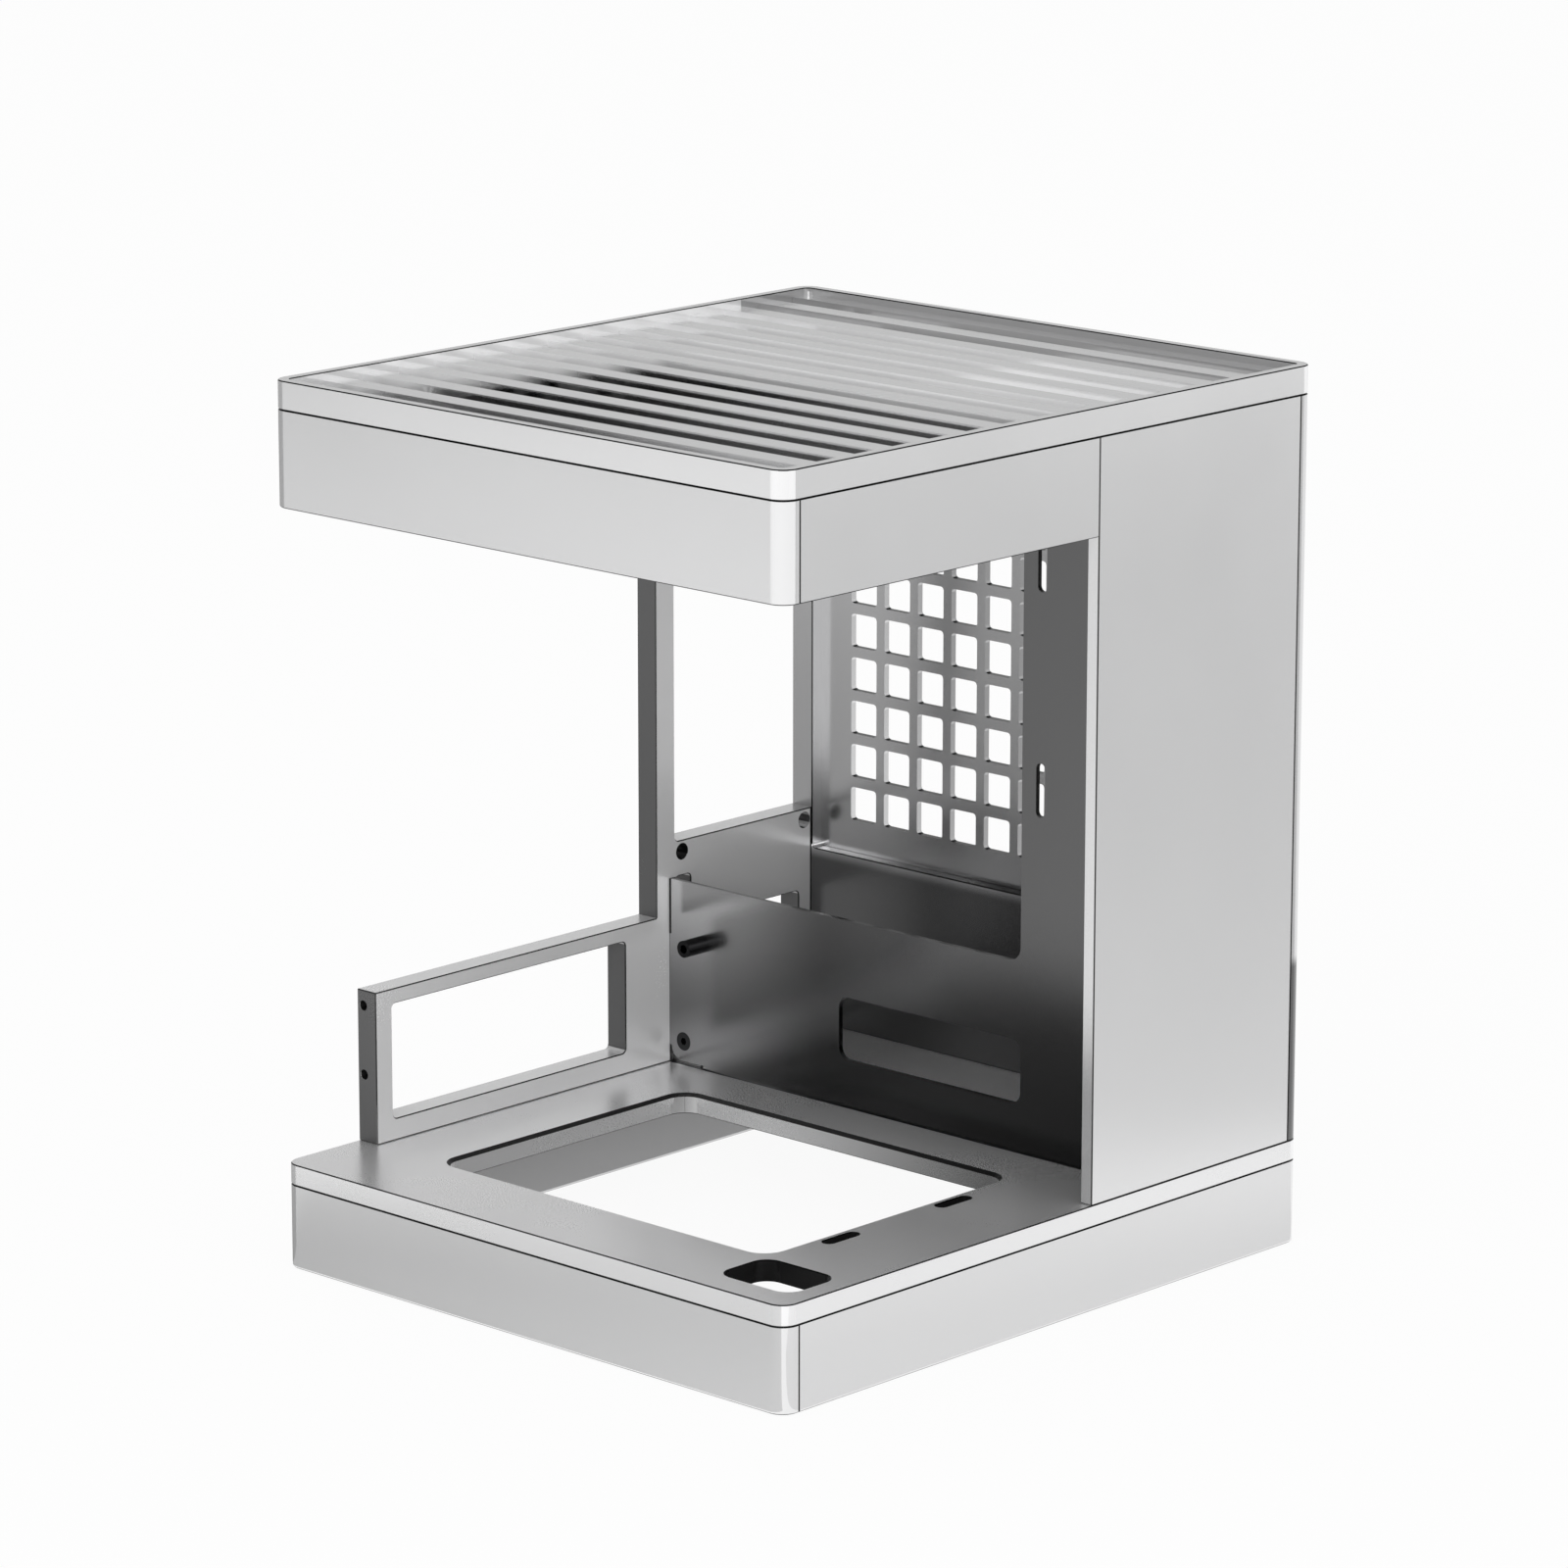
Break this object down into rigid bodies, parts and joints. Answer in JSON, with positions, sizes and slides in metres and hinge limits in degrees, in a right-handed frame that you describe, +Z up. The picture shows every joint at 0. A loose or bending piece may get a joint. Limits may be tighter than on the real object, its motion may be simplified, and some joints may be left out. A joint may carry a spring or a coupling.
{
  "type": "computer case",
  "caption": "Small upright computer case of flat metal plates, with a slatted lid, an open bay, a divider and a square-hole rear grille.",
  "frame": {"origin": "on the ground under the middle of the case", "axes": "+Z up, the front plates face -Y, the full-height side panel is on +X"},
  "size_m": [0.19, 0.212, 0.25],
  "materials": {
    "case_plate": "bead-blasted and clear anodised, satin",
    "divider_sheet": "satin sheet",
    "bracket_stock": "mill finish",
    "dark_steel": "blackened steel"
  },
  "bodies": {
    "root": {"base_front_skirt": "case_plate", "base_left_skirt": "case_plate", "base_right_skirt": "case_plate", "base_rear_skirt": "case_plate", "deck_plate": "case_plate", "left_side_frame": "case_plate", "left_fascia": "case_plate", "front_fascia": "case_plate", "right_fascia": "case_plate", "right_side_panel": "case_plate", "rear_grille_plate": "case_plate", "slatted_lid": "case_plate", "divider_plate": "divider_sheet", "board_standoffs": "dark_steel", "divider_screws": "dark_steel", "angle_brackets": "bracket_stock", "top_corner_brackets": "bracket_stock", "seam_strap": "bracket_stock", "bracket_screws": "dark_steel", "plate_screws": "dark_steel", "lap_screws": "dark_steel", "lid_pins": "dark_steel"}
  },
  "joints": []
}
